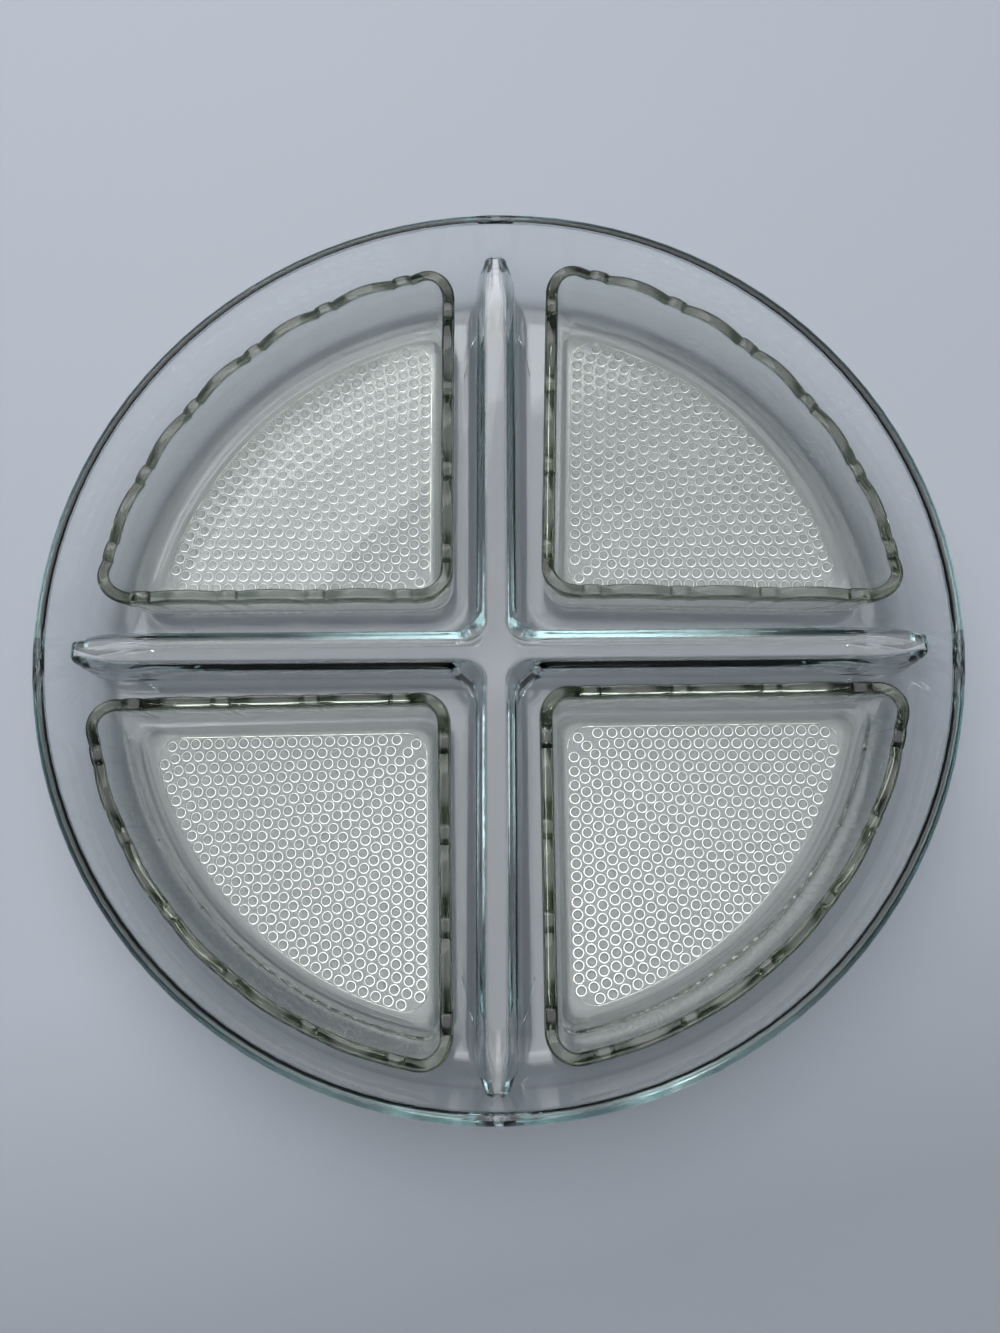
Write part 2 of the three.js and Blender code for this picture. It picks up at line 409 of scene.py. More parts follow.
@dataclass
class Tray:
    """Round tray with a leaning wall, a round rim, a foot ring and the cross of ribs, in millimetres."""

    radius: float = 160.0
    height: float = 44.0
    wall: float = 4.6
    lean: float = math.radians(13)
    floor: float = 4.6
    foot_height: float = 0.4
    foot_width: float = 6.0
    outer_bend: float = 18.0
    inner_bend: float = 14.0
    tip_fillet: float = 3.0
    fillet_run: float = 6.0
    fillet_rise: float = 4.0
    tip_room: float = 10.0
    hub_room: float = 12.0
    crest_room: float = 1.0
    mouth_blend: float = 8.0
    narrowest: float = 0.3
    round_reach: float = 40.0
    corner_steps: int = 8
    open_steps: int = 12
    bend_steps: int = 12
    hub_steps: int = 4
    rib_steps: int = 8
    tip_steps: int = 8
    inside_steps: tuple[int, int] = (10, 5)
    outside_steps: tuple[int, int] = (4, 6)
    mirror_merge: float = 0.0001
    merge: float = 0.001
    smallest_edge: float = 0.0005
    ribs: RibCross = field(default_factory=RibCross)
    lines: list[tuple[float, float, float]] = field(init=False)

    def __post_init__(self) -> None:
        """Works out the lines along a rib."""
        self.lines = self._stations()

    @property
    def floor_top(self) -> float:
        """Level of the floor inside."""
        return self.foot_height + self.floor

    @property
    def bead(self) -> tuple[float, float]:
        """Radius and level of the middle of the rounded rim."""
        return self.radius - self.wall / 2, self.height - self.wall / 2

    def wall_radius(self, level: float, side: int) -> float:
        """Radius of the leaning wall at a level.

        Args:
            level: Where the radius is wanted.
            side: +1 outside, -1 inside.

        Returns:
            The radius.
        """
        radius, height = self.bead
        face = radius + side * self.wall / 2 / math.cos(self.lean)
        return face - (height - level) * math.tan(self.lean)

    def bend_centre(self, level: float, bend: float, side: int) -> tuple[float, float]:
        """Middle of the bend between a level face and the wall.

        Args:
            level: Level of the face.
            bend: Radius of the bend.
            side: +1 outside, -1 inside.

        Returns:
            Radius and level of the middle.
        """
        height = level + bend
        return self.wall_radius(height, side) - bend / math.cos(self.lean), height

    def foot_radius(self) -> float:
        """Radius of the inner edge of the foot ring."""
        return self.bend_centre(0.0, self.outer_bend, 1)[0] - self.foot_width

    def hollow_end(self, level: float) -> float:
        """Distance from the dish axis at which the hollow of a rib ends, inside the tray wall.

        Args:
            level: Level in the hollow.

        Returns:
            The distance.
        """
        centre, height = self.bend_centre(0.0, self.outer_bend, 1)
        drop = height - level
        if drop < self.outer_bend * math.sin(self.lean):
            outer = self.wall_radius(level, 1)
        else:
            outer = centre + math.sqrt(max(0.0, self.outer_bend**2 - drop**2))
        return outer - self.ribs.skin

    def _floor_radii(self, end: float) -> list[float]:
        """Radii along the floor from the hub of the ribs to its edge.

        Args:
            end: Radius of the edge.

        Returns:
            The radii in rising order.
        """
        hub = self.ribs.hub()
        start = hub + self.hub_room
        tip = self.ribs.taper_start() - self.tip_room
        near, middle = spaced(hub, start, self.hub_steps), spaced(start, tip, self.rib_steps)
        return [*near, *middle, *spaced(tip, end, self.tip_steps)]

    def profile(self) -> list[tuple[float, float, int]]:
        """Half section of the bowl, from the hub over the rim to the hub below.

        Returns:
            Radii with levels and the side of the glass: +1 on top, 0 at the rim, -1 below.
        """
        inner, inner_height = self.bend_centre(self.floor_top, self.inner_bend, -1)
        outer, outer_height = self.bend_centre(0.0, self.outer_bend, 1)
        rim, rim_height = self.bead
        foot = self.foot_radius()
        points = [(radius, self.floor_top, 1) for radius in self._floor_radii(inner)]

        def bow(centre: float, level: float, bend: float, ends: tuple[float, float], side: int) -> None:
            """Adds points along an arc of the section."""
            for turn in spaced(*ends, self.bend_steps):
                points.append((centre + bend * math.cos(turn), level + bend * math.sin(turn), side))

        def rise(start: float, end: float, steps: int, side: int) -> None:
            """Adds points along the leaning wall."""
            for level in spaced(start, end, steps):
                points.append((self.wall_radius(level, -side), level, side))

        bow(inner, inner_height, self.inner_bend, (-QUARTER_TURN, -self.lean), 1)
        crest = self.floor_top + self.ribs.height + self.crest_room
        top = rim_height + self.wall / 2 * math.sin(self.lean)
        rise(points[-1][1], crest, self.inside_steps[0], 1)
        rise(crest, top, self.inside_steps[1], 1)
        bow(rim, rim_height, self.wall / 2, (math.pi - self.lean, -self.lean), 0)
        ceiling = crest - self.ribs.skin
        rise(points[-1][1], ceiling, self.outside_steps[0], -1)
        rise(ceiling, outer_height - self.outer_bend * math.sin(self.lean), self.outside_steps[1], -1)
        bow(outer, outer_height, self.outer_bend, (-self.lean, -QUARTER_TURN), -1)
        for radius in [foot, *reversed(self._floor_radii(foot)[:-1]), self.ribs.hub()]:
            points.append((radius, self.foot_height * (1 - (radius / foot) ** 2), -1))
        return points

    def _stations(self) -> list[tuple[float, float, float]]:
        """Lines along a rib, from its middle line to the floor.

        Returns:
            Offsets with the levels on top and below.
        """
        ribs = self.ribs
        outer = ribs.fold(0.0, ribs.edge, ribs.root, 0.0)
        inner = ribs.fold(ribs.skin, ribs.hollow_edge, ribs.hollow_root, -self.floor_top)
        lines = []
        for offset in sorted({round(offset, 3) for offset, _ in outer + inner}):
            top, below = level_at(outer, offset), level_at(inner, offset)
            lines.append((offset, self.floor_top + top, self.floor_top + below))
        return lines

    def _place(self, ring: tuple[float, float, int], station: int) -> tuple[float, float, float]:
        """Place of a point of the eighth beside a rib that runs along the first axis.

        Args:
            ring: Radius, level and side of the ring.
            station: Number of the line along the rib, or past the last of them.

        Returns:
            The place.
        """
        radius, level, side = ring
        last = len(self.lines) - 1
        offset, top, below = self.lines[min(station, last)]
        if side < 0 and radius <= self.foot_radius():
            radius, offset, below = self._hollow(radius, offset, below)
        else:
            offset *= max(self.narrowest, self.ribs.taper(self.ribs.reach - radius))
            below = level
        bent = clamp((radius - self.ribs.hub()) / self.round_reach)
        x = math.sqrt(radius * radius - bent * offset * offset)
        if station > last:
            reach = math.hypot(x, offset)
            turn = math.atan2(offset, x)
            turn += (EIGHTH_TURN - turn) * (station - last) / self.open_steps
            return reach * math.cos(turn), reach * math.sin(turn), level
        if side > 0:
            inner, _ = self.bend_centre(self.floor_top, self.inner_bend, -1)
            run = clamp((radius - inner) / self.fillet_run)
            rise = clamp((top - self.floor_top) / self.fillet_rise)
            level = soft_max(level, top, self.tip_fillet * run * rise)
        elif side < 0:
            level = max(level, below)
        return x, offset, level

    def _hollow(self, radius: float, offset: float, below: float) -> tuple[float, float, float]:
        """Place of a point under a rib, along the ceiling and then down the end of the hollow.

        Args:
            radius: Radius of the ring on the plain underside.
            offset: Distance of the line from the middle of the rib.
            below: Level of the ceiling there.

        Returns:
            Distance along the rib, offset and level.
        """
        hub, foot = self.ribs.hub(), self.foot_radius()
        turn = self.ribs.taper_start() - self.tip_room
        fall = clamp((radius - turn) / (foot - turn))
        level = below * (1 - fall)
        end = self.hollow_end(level)
        along = end if fall > 0 else hub + (radius - hub) * (end - hub) / (turn - hub)
        share = clamp(below / self.mouth_blend)
        along = radius + (along - radius) * share * share * (3 - 2 * share)
        return along, offset * max(self.narrowest, self.ribs.taper(end - along)), level

    def _corner(self, turn: float, level: float, side: int, station: int) -> tuple[float, float, float]:
        """Place of a point in the rounded corner between two ribs.

        Args:
            turn: Angle about the middle of the corner, from the rib to the diagonal.
            level: Level of the plain face.
            side: +1 on top, -1 below.
            station: Number of the line along the rib, or past the last of them.

        Returns:
            The place.
        """
        last = len(self.lines) - 1
        offset, top, below = self.lines[min(station, last)]
        bend = self.ribs.join(top - self.floor_top)
        x = offset + bend * (1 - math.sin(turn))
        y = offset + bend * (1 - math.cos(turn))
        if station > last:
            reach = math.hypot(x, y)
            angle = math.atan2(y, x)
            angle += (EIGHTH_TURN - angle) * (station - last) / self.open_steps
            return reach * math.cos(angle), reach * math.sin(angle), level
        if side > 0:
            return x, y, top
        return x, y, level + max(0.0, below - level) * self.ribs.hollowed(offset, turn)

    def build(self) -> bpy.types.Object:
        """Bends a sheet round the eighth beside a rib, mirrors it and closes the middle of the cross.

        Returns:
            The tray.
        """
        rings = self.profile()
        corner = self.corner_steps
        along = 2 * corner + len(rings)
        across = len(self.lines) - 1 + self.open_steps
        below = rings[-1][1]
        bm = bmesh.new()
        bmesh.ops.create_grid(bm, x_segments=along, y_segments=across, size=0.5)
        for vert in bm.verts:
            step = round((vert.co.x + 0.5) * along)
            station = round((vert.co.y + 0.5) * across)
            if step <= corner:
                turn = EIGHTH_TURN * (1 - step / corner)
                vert.co = self._corner(turn, self.floor_top, 1, station)
            elif step <= corner + len(rings):
                vert.co = self._place(rings[step - corner - 1], station)
            else:
                turn = EIGHTH_TURN * (step - corner - len(rings)) / corner
                vert.co = self._corner(turn, below, -1, station)
        eighth = bm.verts[:] + bm.edges[:] + bm.faces[:]
        bmesh.ops.mirror(bm, geom=eighth, axis="Y", merge_dist=self.mirror_merge)
        quarter = bm.verts[:] + bm.edges[:] + bm.faces[:]
        for turn in range(1, 4):
            copied = bmesh.ops.duplicate(bm, geom=quarter)
            moved = [item for item in copied["geom"] if isinstance(item, bmesh.types.BMVert)]
            bmesh.ops.rotate(bm, verts=moved, matrix=Matrix.Rotation(QUARTER_TURN * turn, 3, "Z"))
        bmesh.ops.remove_doubles(bm, verts=bm.verts, dist=self.merge)
        bmesh.ops.dissolve_degenerate(bm, edges=bm.edges, dist=self.smallest_edge)
        bmesh.ops.holes_fill(bm, edges=[edge for edge in bm.edges if edge.is_boundary], sides=0)
        return shown("tray_pressing", finished("tray_pressing", bm))

    def dress(self, piece: bpy.types.Object, glass: bpy.types.Material) -> None:
        """Gives the tray its glass and its place in the frame.

        Args:
            piece: The tray.
            glass: Its material.
        """
        piece.data.materials.append(glass)
        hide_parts("serving_tray")
        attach(piece, "tray")


@dataclass(frozen=True)
class Stretch:
    """Straight or bowed stretch of an outline; a bow has a radius."""

    start: Vector
    end: Vector
    centre: Vector = Vector((0.0, 0.0))
    radius: float = 0.0
    angles: tuple[float, float] = (0.0, 0.0)

    @classmethod
    def bow(cls, centre: tuple[float, float], radius: float, first: float, last: float) -> "Stretch":
        """Stretch along a circle.

        Args:
            centre: Middle of the circle.
            radius: Its radius.
            first: Angle at the start.
            last: Angle at the end.

        Returns:
            The stretch.
        """
        ends = [Vector(centre) + radius * Vector((math.cos(a), math.sin(a))) for a in (first, last)]
        return cls(ends[0], ends[1], Vector(centre), radius, (first, last))

    @property
    def length(self) -> float:
        """Length along the stretch.

        Returns:
            The length.
        """
        if self.radius:
            return self.radius * abs(self.angles[1] - self.angles[0])
        return (self.end - self.start).length

    def at(self, share: float) -> Vector:
        """Point at a share of the stretch.

        Args:
            share: 0 at the start, 1 at the end.

        Returns:
            The point.
        """
        if self.radius:
            angle = self.angles[0] + (self.angles[1] - self.angles[0]) * share
            return self.centre + self.radius * Vector((math.cos(angle), math.sin(angle)))
        return self.start.lerp(self.end, share)


@dataclass(frozen=True)
class Outline:
    """Quarter-round outline: two straight sides, an arc about the dish axis and three round corners."""

    side: float
    arc: float
    corner: float

    def inset(self, distance: float) -> "Outline":
        """Outline moved inwards."""
        return Outline(self.side + distance, self.arc - distance, self.corner - distance)

    def toward(self, other: "Outline", share: float) -> "Outline":
        """Outline part of the way to another.

        Args:
            other: Outline to go to.
            share: 0 here, 1 there.

        Returns:
            The outline between.
        """
        return Outline(
            self.side + (other.side - self.side) * share,
            self.arc + (other.arc - self.arc) * share,
            self.corner + (other.corner - self.corner) * share,
        )

    def corner_place(self) -> tuple[float, float]:
        """Distances of an outer corner's middle from the side's axis and along it."""
        near = self.side + self.corner
        return near, math.sqrt((self.arc - self.corner) ** 2 - near**2)

    def stretches(self) -> list[Stretch]:
        """Seven stretches from the middle of the inner corner round and back to it.

        Returns:
            The stretches in order.
        """
        near, far = self.corner_place()
        tilt = math.atan2(near, far)
        return [
            Stretch.bow((near, near), self.corner, -math.pi + EIGHTH_TURN, -QUARTER_TURN),
            Stretch(Vector((near, self.side)), Vector((far, self.side))),
            Stretch.bow((far, near), self.corner, -QUARTER_TURN, tilt),
            Stretch.bow((0.0, 0.0), self.arc, tilt, QUARTER_TURN - tilt),
            Stretch.bow((near, far), self.corner, QUARTER_TURN - tilt, math.pi),
            Stretch(Vector((self.side, far)), Vector((self.side, near))),
            Stretch.bow((near, near), self.corner, math.pi, math.pi + EIGHTH_TURN),
        ]

    def holds(self, x: float, y: float) -> bool:
        """Tells whether a point lies inside.

        Args:
            x: First coordinate.
            y: Second coordinate.

        Returns:
            True on or inside the outline.
        """
        near, far = self.corner_place()
        low, high = min(x, y), max(x, y)
        if low < self.side or math.hypot(x, y) > self.arc:
            return False
        if high > far and math.atan2(low - near, high - far) < math.atan2(near, far):
            return math.hypot(high - far, low - near) <= self.corner
        if high < near:
            return math.hypot(x - near, y - near) <= self.corner
        return True


@dataclass(frozen=True)
class Station:
    """Place round the rim of an insert, and how high the rim rises there."""

    stretch: int
    share: float
    rise: float


class Quarter(Enum):
    """Quarter of the tray, counted from the far right against the clock."""

    BACK_RIGHT = 0
    BACK_LEFT = 1
    FRONT_LEFT = 2
    FRONT_RIGHT = 3


@dataclass(frozen=True)
class Place:
    """How a loose insert stands in its quarter: slid along and turned about its own middle."""

    quarter: Quarter
    slide: tuple[float, float]
    turn: float

    def matrix(self, middle: float) -> Matrix:
        """Placement in metres.

        Args:
            middle: Middle of the insert along both axes, in millimetres.

        Returns:
            The matrix for the mesh.
        """
        shift = Vector((middle + self.slide[0], middle + self.slide[1], 0.0)) * MM
        back = Matrix.Translation((-middle * MM, -middle * MM, 0.0))
        quarter = Matrix.Rotation(self.quarter.value * QUARTER_TURN, 4, "Z")
        turn = Matrix.Rotation(math.radians(self.turn), 4, "Z")
        return quarter @ Matrix.Translation(shift) @ turn @ back


@dataclass
class Insert:
    """Quarter-round insert with a knuckled rim and studs under its floor, in millimetres."""

    tray: Tray
    rib_room: float = 3.7
    edge_room: float = 5.2
    clearance: float = 0.3
    height: float = 30.5
    wall: float = 4.6
    rim_edge: float = 1.0
    floor: float = 3.6
    side_draft: float = 0.9
    arc_draft: float = 6.5
    corner: float = 11.0
    base_corner: float = 10.0
    base_bend: float = 8.0
    floor_bend: float = 4.8
    pad_step: float = 1.0
    pad_corner: float = 8.0
    pad_lip: float = 0.2
    arches: int = 14
    arch_rise: float = 2.6
    arch_steps: int = 12
    knuckle_share: float = 0.24
    knuckle_rise: float = 0.9
    knuckle_crown: float = 0.5
    knuckle_step: float = 0.025
    knuckle_ease: tuple[float, float] = (0.2, 0.8)
    knuckle_marks: tuple[float, ...] = (0.0, 0.2, 0.5, 0.8, 1.0)
    base_steps: int = 6
    wall_steps: int = 5
    rim_steps: int = 5
    floor_steps: int = 7
    stud_radius: float = 2.0
    stud_edge: float = 0.65
    stud_height: float = 1.3
    stud_pitch: float = 4.6
    row_pitch: float = 4.25
    row_spare: float = 0.12
    row_search: float = math.radians(0.05)
    stud_margin: float = 2.2
    stud_slack: float = 0.001
    stud_sides: int = 12
    stud_edge_steps: int = 3
    places: tuple[Place, ...] = (
        Place(Quarter.BACK_RIGHT, (2.0, 0.0), -1.4),
        Place(Quarter.BACK_LEFT, (0.0, -0.5), 0.0),
        Place(Quarter.FRONT_LEFT, (-0.5, 2.5), 0.8),
        Place(Quarter.FRONT_RIGHT, (-0.4, 0.0), 0.4),
    )
    base: Outline = field(init=False)
    rim: Outline = field(init=False)
    hollow: Outline = field(init=False)
    pad: Outline = field(init=False)
    bottom: float = field(init=False)
    under: float = field(init=False)
    inside: float = field(init=False)
    crown: float = field(init=False)

    def __post_init__(self) -> None:
        """Works out the outlines and levels from the tray that carries the insert."""
        flat, _ = self.tray.bend_centre(self.tray.floor_top, self.tray.inner_bend, -1)
        side = self.tray.ribs.foot() + self.rib_room
        self.base = Outline(side, flat - self.edge_room + self.base_bend, self.base_corner)
        self.rim = Outline(side - self.side_draft, self.base.arc + self.arc_draft, self.corner)
        self.hollow = self.base.inset(self.wall)
        inner = self.hollow.inset(self.floor_bend)
        self.pad = Outline(inner.side, inner.arc, self.pad_corner)
        self.bottom = self.tray.floor_top + self.clearance
        self.under = self.bottom + self.pad_step
        self.inside = self.under + self.floor
        self.crown = self.bottom + self.height - self.arch_rise

    def _rises(self) -> list[tuple[float, float]]:
        """One arch and the knuckle after it.

        Returns:
            Places, in arches from the middle of the arch, with the rise of the rim.
        """
        reach = (1 - self.knuckle_share) / 2
        rises = []
        for across in [-1.0, *spaced(-1.0, 1.0, self.arch_steps)]:
            rises.append((reach * across, self.arch_rise * (1 - across * across)))
        first, last = reach + self.knuckle_step, 1 - reach - self.knuckle_step
        third = self.knuckle_step / 3
        low, high = (ease * self.knuckle_rise for ease in self.knuckle_ease)
        rises += [(reach + third, low), (first - third, high)]
        for share in self.knuckle_marks:
            swell = self.knuckle_crown * (1 - (2 * share - 1) ** 2)
            rises.append((first + (last - first) * share, self.knuckle_rise + swell))
        rises += [(last + third, high), (1 - reach - third, low)]
        return rises

    def stations(self) -> list[Station]:
        """Stations round the rim.

        Returns:
            The stations in order.
        """
        stretches = self.rim.stretches()
        total = sum(stretch.length for stretch in stretches)
        found = []
        for arch in range(self.arches):
            for place, rise in self._rises():
                distance = (arch + place) % self.arches * total / self.arches
                number = 0
                while number < len(stretches) - 1 and distance > stretches[number].length:
                    distance -= stretches[number].length
                    number += 1
                found.append(Station(number, distance / stretches[number].length, rise))
        return found

    def courses(self) -> list[tuple[Outline, float, float]]:
        """Rings of the shell, from the edge of the studded pad up, over the rim and down inside.

        Returns:
            Outlines with their levels and the share of the rim's rise that they follow.
        """
        rim_start = self.crown - self.rim_edge
        ground = self.bottom + self.stud_height
        made = [(self.pad, ground, 0.0), (self.pad.inset(-self.pad_lip), self.under, 0.0)]
        made.append((self.base.inset(self.base_bend), self.under, 0.0))
        for turn in spaced(0.0, QUARTER_TURN, self.base_steps):
            edge = self.base.inset(self.base_bend * (1 - math.sin(turn)))
            made.append((edge, self.under + self.base_bend * (1 - math.cos(turn)), 0.0))
        start = self.under + self.base_bend
        for share in spaced(0.0, 1.0, self.wall_steps):
            level = start + (rim_start - start) * share
            made.append((self.base.toward(self.rim, share), level, share))
        for turn in spaced(0.0, QUARTER_TURN, self.rim_steps):
            edge = self.rim.inset(self.rim_edge * (1 - math.cos(turn)))
            made.append((edge, rim_start + self.rim_edge * math.sin(turn), 1.0))
        for turn in [0.0, *spaced(0.0, QUARTER_TURN, self.rim_steps)]:
            edge = self.rim.inset(self.wall - self.rim_edge * (1 - math.sin(turn)))
            made.append((edge, rim_start + self.rim_edge * math.cos(turn), 1.0))
        lip, low = self.rim.inset(self.wall), self.inside + self.floor_bend
        for share in spaced(0.0, 1.0, self.wall_steps):
            level = rim_start + (low - rim_start) * share
            made.append((lip.toward(self.hollow, share), level, 1 - share))
        for turn in spaced(0.0, QUARTER_TURN, self.floor_steps):
            edge = self.hollow.toward(self.pad, 1 - math.cos(turn))
            made.append((edge, self.inside + self.floor_bend * (1 - math.sin(turn)), 0.0))
        return made

    def _spots(self, course: tuple[Outline, float, float], stations: list[Station]) -> list[Vector]:
        """Points of one ring.

        Args:
            course: Outline, level and share of the rise.
            stations: Stations round the rim.

        Returns:
            A point for each station.
        """
        outline, level, wave = course
        stretches = outline.stretches()
        flat = [stretches[station.stretch].at(station.share) for station in stations]
        return [Vector((p.x, p.y, level + wave * s.rise)) for p, s in zip(flat, stations)]

    def _loop(self, bm: bmesh.types.BMesh, ring: list[bmesh.types.BMVert]) -> list[bmesh.types.BMEdge]:
        """Edges of a closed ring of points."""
        return [bm.edges.get(pair) for pair in zip(ring, ring[1:] + ring[:1])]

    def _shell(self, bm: bmesh.types.BMesh) -> list[bmesh.types.BMEdge]:
        """Raises the shell ring by ring and closes its floor.

        Args:
            bm: Shape to build in.

        Returns:
            The open edge round the studded pad.
        """
        stations = self.stations()
        courses = self.courses()
        ring = bmesh.ops.create_circle(bm, segments=len(stations), radius=1.0)["verts"]
        for vert, spot in zip(ring, self._spots(courses[0], stations)):
            vert.co = spot
        border = self._loop(bm, ring)
        for course in courses[1:]:
            made = bmesh.ops.extrude_edge_only(bm, edges=self._loop(bm, ring))["geom"]
            fresh = {item for item in made if isinstance(item, bmesh.types.BMVert)}
            around = [[edge.other_vert(vert) for edge in vert.link_edges] for vert in ring]
            ring = [next(vert for vert in near if vert in fresh) for near in around]
            for vert, spot in zip(ring, self._spots(course, stations)):
                vert.co = spot
        bmesh.ops.contextual_create(bm, geom=self._loop(bm, ring))
        return border

    def stud_places(self) -> list[tuple[float, float]]:
        """Middles of the studs, in rows about the dish axis that start and end on the straight borders.

        Returns:
            Coordinates of each stud.
        """
        field_edge = self.pad.inset(self.stud_margin)
        places = []
        radius = field_edge.arc - self.stud_slack
        while True:
            turn = EIGHTH_TURN
            while field_edge.holds(radius * math.cos(turn), radius * math.sin(turn)):
                turn -= self.row_search
            half = EIGHTH_TURN - turn - self.row_search
            if half < 0:
                return places
            count = int(2 * half * radius / self.stud_pitch + self.row_spare)
            if not count:
                return [*places, (radius * math.cos(EIGHTH_TURN), radius * math.sin(EIGHTH_TURN))]
            for number in range(count + 1):
                angle = EIGHTH_TURN + half * (2 * number / count - 1)
                places.append((radius * math.cos(angle), radius * math.sin(angle)))
            radius -= self.row_pitch

    def _studs(self, bm: bmesh.types.BMesh, border: list[bmesh.types.BMEdge]) -> None:
        """Sets the flat studs with round edges under the floor and fills the ground between them.

        Args:
            bm: Shell to finish.
            border: Edge round the studded pad, not used.
        """
        disc = bmesh.new()
        bmesh.ops.create_cone(
            disc,
            segments=self.stud_sides,
            radius1=self.stud_radius - self.stud_edge / 3,
            radius2=self.stud_radius,
            depth=self.stud_height,
            cap_ends=True,
            matrix=Matrix.Translation((0.0, 0.0, self.bottom + self.stud_height / 2)),
        )
        caps = [face for face in disc.faces if len(face.verts) > 4]
        crown, root = sorted(caps, key=lambda face: face.calc_center_median().z)
        bmesh.ops.delete(disc, geom=[root], context="FACES_ONLY")
        bmesh.ops.bevel(
            disc,
            geom=crown.edges[:],
            offset=self.stud_edge,
            segments=self.stud_edge_steps,
            profile=0.5,
            affect="EDGES",
            material=-1,
        )
        stud = bpy.data.meshes.new("stud")
        disc.to_mesh(stud)
        disc.free()
        here = Vector((0.0, 0.0))
        for x, y in self.stud_places():
            stud.transform(Matrix.Translation((x - here.x, y - here.y, 0.0)))
            bm.from_mesh(stud)
            here = Vector((x, y))
        bpy.data.meshes.remove(stud)
        rims = [edge for edge in bm.edges if len(edge.link_faces) == 1]
        bmesh.ops.triangle_fill(bm, use_beauty=True, use_dissolve=False, edges=rims, normal=(0, 0, -1))

    def build(self) -> list[bpy.types.Object]:
        """Makes one insert and stands a copy in each quarter.

        Returns:
            The four inserts.
        """
        bm = bmesh.new()
        self._studs(bm, self._shell(bm))
        pattern = finished("insert_pattern", bm)
        pieces = []
        for place in self.places:
            name = f"insert_pressing_{place.quarter.name.lower()}"
            mesh = pattern.copy()
            mesh.name = name
            mesh.transform(place.matrix(self.rim.arc / 2))
            pieces.append(shown(name, mesh))
        bpy.data.meshes.remove(pattern)
        return pieces

    def dress(self, pieces: list[bpy.types.Object], glass: bpy.types.Material) -> None:
        """Gives the inserts their glass and their places in the frame.

        Args:
            pieces: The four inserts.
            glass: Their material.
        """
        for piece, place in zip(pieces, self.places):
            body = place.quarter.name.lower()
            piece.data.materials.append(glass)
            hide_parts(f"insert_{body}")
            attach(piece, body)


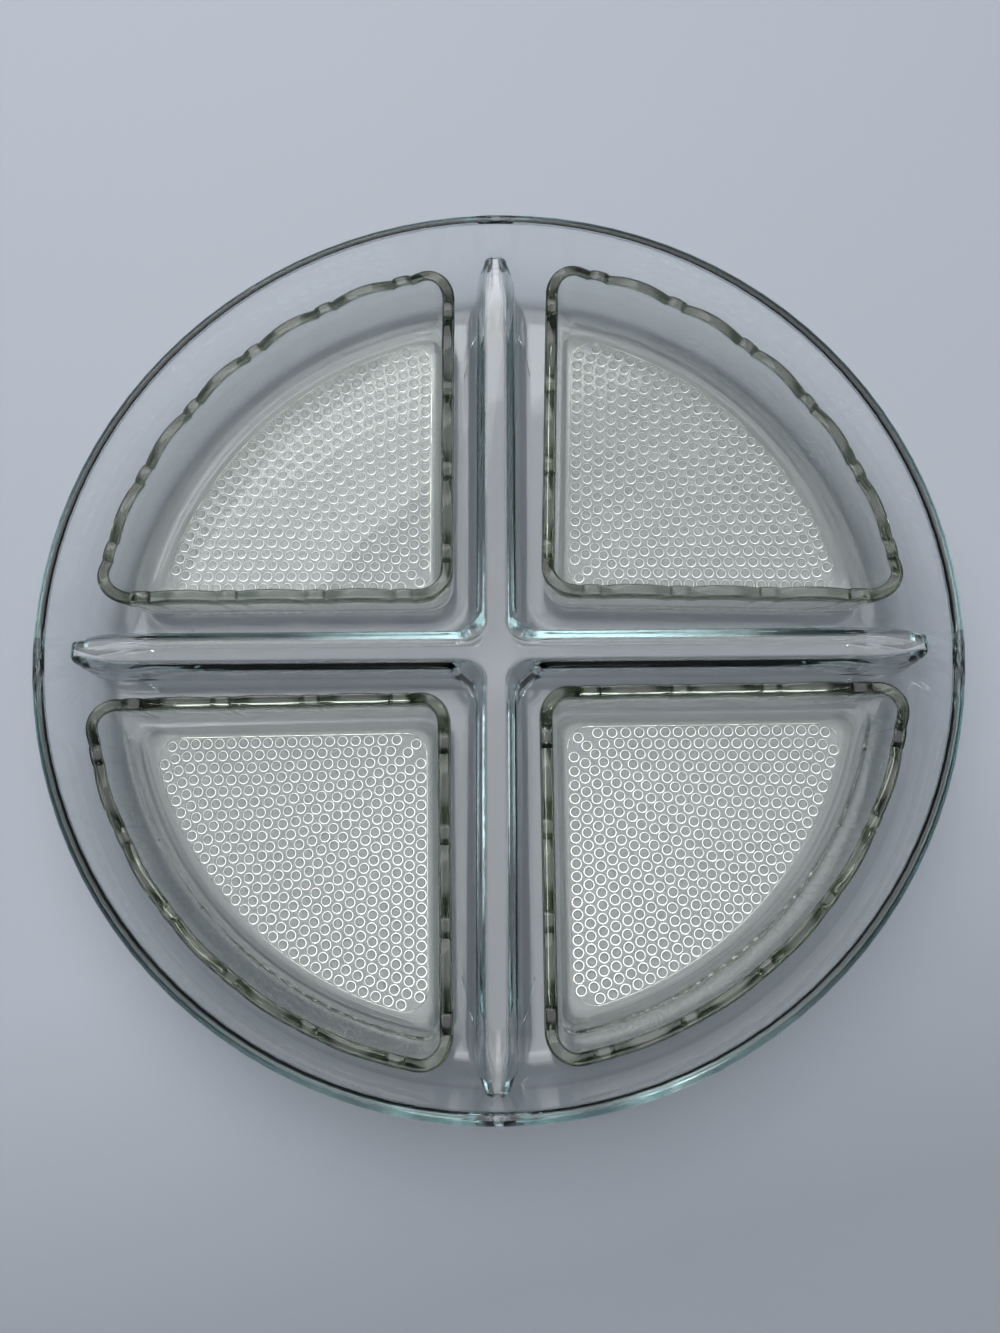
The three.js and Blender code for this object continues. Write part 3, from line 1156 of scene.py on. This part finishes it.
@dataclass
class Studio:
    """Pale table top, soft light from above and behind, and the camera over the dish."""

    table_size: float = 0.5
    table_drop: float = 0.0003
    table_pale: tuple[float, float, float, float] = (0.46, 0.49, 0.55, 1.0)
    # Colour of the table where shade is painted in, towards the camera.
    table_painted_shade: tuple[float, float, float, float] = (0.29, 0.312, 0.35, 1.0)
    table_rough: float = 0.5
    rough_spread: float = 0.2
    # Axis and ends of the painted shade, which darkens the table towards the camera.
    painted_shade_axis: tuple[float, float, float] = (-0.25, 1.0, 0.0)
    painted_shade_ends: tuple[float, float] = (-0.22, -0.08)
    mottle_scale: float = 9.0
    mottle_detail: float = 5.0
    mottle_share: float = 0.15
    grain_scale: float = 260.0
    grain_detail: float = 3.0
    grain_strength: float = 0.08
    grain_depth: float = 0.0004
    sky_dark: tuple[float, float, float, float] = (0.22, 0.236, 0.248, 1.0)
    sky_light: tuple[float, float, float, float] = (2.32, 2.37, 2.43, 1.0)
    sky_axis: tuple[float, float, float] = (0.0, 0.22, 0.975)
    sky_ends: tuple[float, float] = (0.78, 0.95)
    lamp_place: tuple[float, float, float] = (-0.35, 0.85, 0.95)
    lamp_size: float = 0.9
    lamp_power: float = 5.0
    lens: float = 35.11
    sensor: float = 36.0
    clip_start: float = 0.01
    camera_place: tuple[float, float, float] = (0.012195, -0.102671, 0.47679)
    camera_right: tuple[float, float, float] = (0.999694, -0.002723, -0.024590)
    camera_up: tuple[float, float, float] = (0.007776, 0.978136, 0.207823)
    camera_ahead: tuple[float, float, float] = (-0.023486, 0.207951, -0.977857)
    bounces: int = 32
    glossy_bounces: int = 16

    def table(self) -> None:
        """Lays the table top, with shade painted into its colour towards the camera, and faintly
        mottled.
        """
        bm = bmesh.new()
        bmesh.ops.create_grid(bm, x_segments=1, y_segments=1, size=self.table_size)
        bmesh.ops.translate(bm, vec=(0, 0, -self.table_drop), verts=bm.verts)
        mesh = bpy.data.meshes.new("table_top")
        bm.to_mesh(mesh)
        bm.free()
        top = shown("table_top", mesh)
        material = bpy.data.materials.new("table_paint")
        material.use_nodes = True
        material.node_tree.nodes.clear()
        recipe = Recipe(material.node_tree)
        place = recipe.node("ShaderNodeTexCoord", output="Object")
        mottle = recipe.noise(place, self.mottle_scale, self.mottle_detail)
        grain = recipe.noise(place, self.grain_scale, self.grain_detail)
        # Painted shade: the colour darkens towards the camera in place of the light falling off there;
        # the mottle is the table's own.
        painted_shade = recipe.ramp(recipe.along(place, self.painted_shade_axis), self.painted_shade_ends)
        painted_shade_and_mottle = painted_shade * (1 - self.mottle_share) + mottle * self.mottle_share
        relief = recipe.node(
            "ShaderNodeBump",
            inputs={"Strength": self.grain_strength, "Distance": self.grain_depth, "Height": grain},
        )
        paint = recipe.node(
            "ShaderNodeBsdfPrincipled",
            inputs={
                "Base Color": recipe.blend(painted_shade_and_mottle, self.table_painted_shade, self.table_pale),
                "Roughness": self.table_rough + mottle * self.rough_spread,
                "Normal": relief,
            },
        )
        recipe.node("ShaderNodeOutputMaterial", inputs={"Surface": paint})
        mesh.materials.append(material)

    def light(self) -> None:
        """Sets the soft overhead light, darker towards the horizon, and the lamp behind the dish."""
        world = bpy.data.worlds.new("soft_room")
        bpy.context.scene.world = world
        world.use_nodes = True
        world.node_tree.nodes.clear()
        recipe = Recipe(world.node_tree)
        way = recipe.node("ShaderNodeTexCoord", output="Generated")
        share = recipe.ramp(recipe.along(way, self.sky_axis), self.sky_ends, Ramp.SOFT)
        colour = recipe.blend(share, self.sky_dark, self.sky_light)
        glow = recipe.node("ShaderNodeBackground", inputs={"Color": colour})
        recipe.node("ShaderNodeOutputWorld", inputs={"Surface": glow})
        lamp = bpy.data.lights.new("window", "AREA")
        lamp.size = self.lamp_size
        lamp.energy = self.lamp_power
        stand = bpy.data.objects.new("window", lamp)
        stand.location = self.lamp_place
        stand.rotation_mode = "QUATERNION"
        stand.rotation_quaternion = (-Vector(self.lamp_place)).to_track_quat("-Z", "Y")
        bpy.context.scene.collection.objects.link(stand)

    def camera(self) -> None:
        """Sets the camera at the photograph's place and angle."""
        data = bpy.data.cameras.new("overhead")
        data.sensor_width = self.sensor
        data.lens = self.lens
        data.clip_start = self.clip_start
        eye = bpy.data.objects.new("overhead", data)
        back = -Vector(self.camera_ahead)
        turn = Matrix((self.camera_right, self.camera_up, back)).transposed()
        eye.matrix_world = Matrix.Translation(self.camera_place) @ turn.to_4x4()
        bpy.context.scene.collection.objects.link(eye)
        bpy.context.scene.camera = eye

    def settings(self) -> None:
        """Plain view and enough bounces for light through many layers of glass."""
        scene = bpy.context.scene
        scene.view_settings.view_transform = "Standard"
        scene.cycles.max_bounces = self.bounces
        scene.cycles.transmission_bounces = self.bounces
        scene.cycles.glossy_bounces = self.glossy_bounces


def report(piece: bpy.types.Object) -> None:
    """Logs a piece and its face count."""
    LOG.info("%s: %d faces", piece.name, len(piece.data.polygons))


def main() -> None:
    """Builds the tray, the inserts and the studio."""
    logging.basicConfig(level=logging.INFO, format="%(name)s %(message)s")
    tray = Tray()
    pressing = tray.build()
    tray.dress(pressing, TRAY_GLASS.make())
    report(pressing)
    insert = Insert(tray)
    pieces = insert.build()
    insert.dress(pieces, INSERT_GLASS.make())
    for piece in pieces:
        report(piece)
    studio = Studio()
    studio.table()
    studio.light()
    studio.camera()
    studio.settings()


if __name__ == "__main__":
    main()
